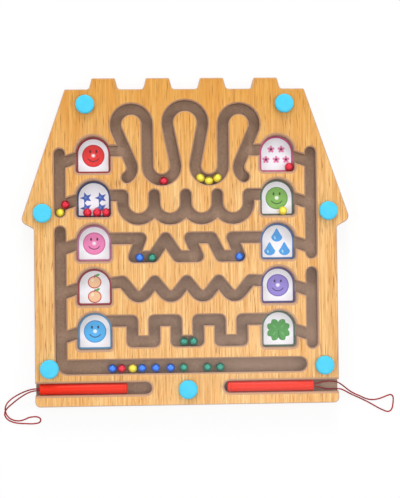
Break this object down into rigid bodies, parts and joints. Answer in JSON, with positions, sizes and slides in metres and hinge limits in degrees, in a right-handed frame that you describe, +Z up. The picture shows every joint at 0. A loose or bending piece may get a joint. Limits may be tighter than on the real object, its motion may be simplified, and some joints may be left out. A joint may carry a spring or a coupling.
{
  "type": "magnetic maze board",
  "caption": "Castle-shaped wooden maze board with routed lanes and picture wells, coloured balls under a clear riveted cover, and red magnet wands on cord loops parked in side slots.",
  "frame": {"origin": "middle of the board's outline, on its back face", "axes": "+Z up from the back to the clear cover, +Y towards the battlements, +X to the right as seen from the front"},
  "size_m": [0.3637, 0.3189, 0.0192],
  "materials": {
    "veneered_fibreboard": "satin wood-grain face, fibreboard core in the routed lanes",
    "clear_acrylic": "clear polished sheet",
    "blue_plastic": "moulded, glossy",
    "printed_card": "printed, satin",
    "red_ball_paint": "gloss paint on steel",
    "yellow_ball_paint": "gloss paint on steel",
    "blue_ball_paint": "gloss paint on steel",
    "green_ball_paint": "gloss paint on steel",
    "red_plastic": "moulded, satin gloss",
    "magnet_steel": "plated magnet",
    "red_cord": "braided thin cord"
  },
  "bodies": {
    "board": {"maze_board": "veneered_fibreboard", "clear_cover": "clear_acrylic", "rivet_cap_1": "blue_plastic", "rivet_cap_2": "blue_plastic", "rivet_cap_3": "blue_plastic", "rivet_cap_4": "blue_plastic", "rivet_cap_5": "blue_plastic", "rivet_cap_6": "blue_plastic", "rivet_cap_7": "blue_plastic", "rivet_back_1": "blue_plastic", "rivet_back_2": "blue_plastic", "rivet_back_3": "blue_plastic", "rivet_back_4": "blue_plastic", "rivet_back_5": "blue_plastic", "rivet_back_6": "blue_plastic", "rivet_back_7": "blue_plastic", "picture_tile_1": "printed_card", "picture_tile_2": "printed_card", "picture_tile_3": "printed_card", "picture_tile_4": "printed_card", "picture_tile_5": "printed_card", "picture_tile_6": "printed_card", "picture_tile_7": "printed_card", "picture_tile_8": "printed_card", "picture_tile_9": "printed_card", "picture_tile_10": "printed_card"},
    "red_ball_1": {"red_ball_1": "red_ball_paint"},
    "red_ball_2": {"red_ball_2": "red_ball_paint"},
    "red_ball_3": {"red_ball_3": "red_ball_paint"},
    "red_ball_4": {"red_ball_4": "red_ball_paint"},
    "red_ball_5": {"red_ball_5": "red_ball_paint"},
    "red_ball_6": {"red_ball_6": "red_ball_paint"},
    "red_ball_7": {"red_ball_7": "red_ball_paint"},
    "yellow_ball_1": {"yellow_ball_1": "yellow_ball_paint"},
    "yellow_ball_2": {"yellow_ball_2": "yellow_ball_paint"},
    "yellow_ball_3": {"yellow_ball_3": "yellow_ball_paint"},
    "yellow_ball_4": {"yellow_ball_4": "yellow_ball_paint"},
    "yellow_ball_5": {"yellow_ball_5": "yellow_ball_paint"},
    "yellow_ball_6": {"yellow_ball_6": "yellow_ball_paint"},
    "blue_ball_1": {"blue_ball_1": "blue_ball_paint"},
    "blue_ball_2": {"blue_ball_2": "blue_ball_paint"},
    "blue_ball_3": {"blue_ball_3": "blue_ball_paint"},
    "blue_ball_4": {"blue_ball_4": "blue_ball_paint"},
    "blue_ball_5": {"blue_ball_5": "blue_ball_paint"},
    "blue_ball_6": {"blue_ball_6": "blue_ball_paint"},
    "green_ball_1": {"green_ball_1": "green_ball_paint"},
    "green_ball_2": {"green_ball_2": "green_ball_paint"},
    "green_ball_3": {"green_ball_3": "green_ball_paint"},
    "green_ball_4": {"green_ball_4": "green_ball_paint"},
    "green_ball_5": {"green_ball_5": "green_ball_paint"},
    "green_ball_6": {"green_ball_6": "green_ball_paint"},
    "left_wand": {"left_wand_rod": "red_plastic", "left_wand_magnet": "magnet_steel", "left_wand_tip": "red_plastic", "left_wand_cord": "red_cord"},
    "right_wand": {"right_wand_rod": "red_plastic", "right_wand_magnet": "magnet_steel", "right_wand_tip": "red_plastic", "right_wand_cord": "red_cord"}
  },
  "joints": [
    {"name": "yellow_ball_1_slide", "type": "slide", "parent": "board", "child": "yellow_ball_1", "axis": [0, 1, 0], "range_m": [0, 0.0012]},
    {"name": "red_ball_1_slide", "type": "slide", "parent": "board", "child": "red_ball_1", "axis": [0.9439, 0.3304, 0], "range_m": [0, 0.0084]},
    {"name": "red_ball_2_slide", "type": "slide", "parent": "board", "child": "red_ball_2", "axis": [0, 1, 0], "range_m": [0, 0.013]},
    {"name": "red_ball_3_slide", "type": "slide", "parent": "board", "child": "red_ball_3", "axis": [0, 1, 0], "range_m": [0, 0.023]},
    {"name": "red_ball_4_slide", "type": "slide", "parent": "board", "child": "red_ball_4", "axis": [0, 1, 0], "range_m": [0, 0.022]},
    {"name": "red_ball_5_slide", "type": "slide", "parent": "board", "child": "red_ball_5", "axis": [1, 0, 0], "range_m": [-0.0228, 0]},
    {"name": "yellow_ball_2_slide", "type": "slide", "parent": "board", "child": "yellow_ball_2", "axis": [1, 0, 0], "range_m": [-0.0165, 0.0062]},
    {"name": "red_ball_6_roll", "type": "hinge", "parent": "board", "child": "red_ball_6", "pos_m": [-0.022, 0.0695, 0.0078], "axis": [0, 0, 1], "range_deg": [-85, 80]},
    {"name": "yellow_ball_3_roll", "type": "hinge", "parent": "board", "child": "yellow_ball_3", "pos_m": [0.022, 0.0695, 0.0078], "axis": [0, 0, 1], "range_deg": [-60, 1]},
    {"name": "yellow_ball_4_roll", "type": "hinge", "parent": "board", "child": "yellow_ball_4", "pos_m": [0.022, 0.0695, 0.0078], "axis": [0, 0, 1], "range_deg": [-1, 1]},
    {"name": "yellow_ball_5_roll", "type": "hinge", "parent": "board", "child": "yellow_ball_5", "pos_m": [0.022, 0.0695, 0.0078], "axis": [0, 0, 1], "range_deg": [-1, 52]},
    {"name": "blue_ball_1_slide", "type": "slide", "parent": "board", "child": "blue_ball_1", "axis": [1, 0, 0], "range_m": [-0.005, 0.0034]},
    {"name": "green_ball_1_slide", "type": "slide", "parent": "board", "child": "green_ball_1", "axis": [1, 0, 0], "range_m": [-0.0034, 0.0014]},
    {"name": "blue_ball_2_slide", "type": "slide", "parent": "board", "child": "blue_ball_2", "axis": [1, 0, 0], "range_m": [-0.0172, 0.0005]},
    {"name": "green_ball_2_slide", "type": "slide", "parent": "board", "child": "green_ball_2", "axis": [1, 0, 0], "range_m": [-0.007, 0.0007]},
    {"name": "green_ball_3_slide", "type": "slide", "parent": "board", "child": "green_ball_3", "axis": [1, 0, 0], "range_m": [-0.0007, 0.0044]},
    {"name": "blue_ball_3_slide", "type": "slide", "parent": "board", "child": "blue_ball_3", "axis": [1, 0, 0], "range_m": [-0.034, 0.0004]},
    {"name": "red_ball_7_slide", "type": "slide", "parent": "board", "child": "red_ball_7", "axis": [1, 0, 0], "range_m": [-0.0004, 0.0021]},
    {"name": "yellow_ball_6_slide", "type": "slide", "parent": "board", "child": "yellow_ball_6", "axis": [1, 0, 0], "range_m": [-0.0021, 0.0006]},
    {"name": "blue_ball_4_slide", "type": "slide", "parent": "board", "child": "blue_ball_4", "axis": [1, 0, 0], "range_m": [-0.0006, 0.0045]},
    {"name": "blue_ball_5_slide", "type": "slide", "parent": "board", "child": "blue_ball_5", "axis": [1, 0, 0], "range_m": [-0.0045, 0.0055]},
    {"name": "blue_ball_6_slide", "type": "slide", "parent": "board", "child": "blue_ball_6", "axis": [1, 0, 0], "range_m": [-0.0055, 0.0041]},
    {"name": "green_ball_4_slide", "type": "slide", "parent": "board", "child": "green_ball_4", "axis": [1, 0, 0], "range_m": [-0.0041, 0.0139]},
    {"name": "green_ball_5_slide", "type": "slide", "parent": "board", "child": "green_ball_5", "axis": [1, 0, 0], "range_m": [-0.0139, 0.0038]},
    {"name": "green_ball_6_slide", "type": "slide", "parent": "board", "child": "green_ball_6", "axis": [1, 0, 0], "range_m": [-0.0038, 0.0735]},
    {"name": "left_wand_slide", "type": "slide", "parent": "board", "child": "left_wand", "axis": [1, 0, 0], "range_m": [-0.09, 0.01]},
    {"name": "right_wand_slide", "type": "slide", "parent": "board", "child": "right_wand", "axis": [1, 0, 0], "range_m": [-0.0005, 0.11]}
  ]
}
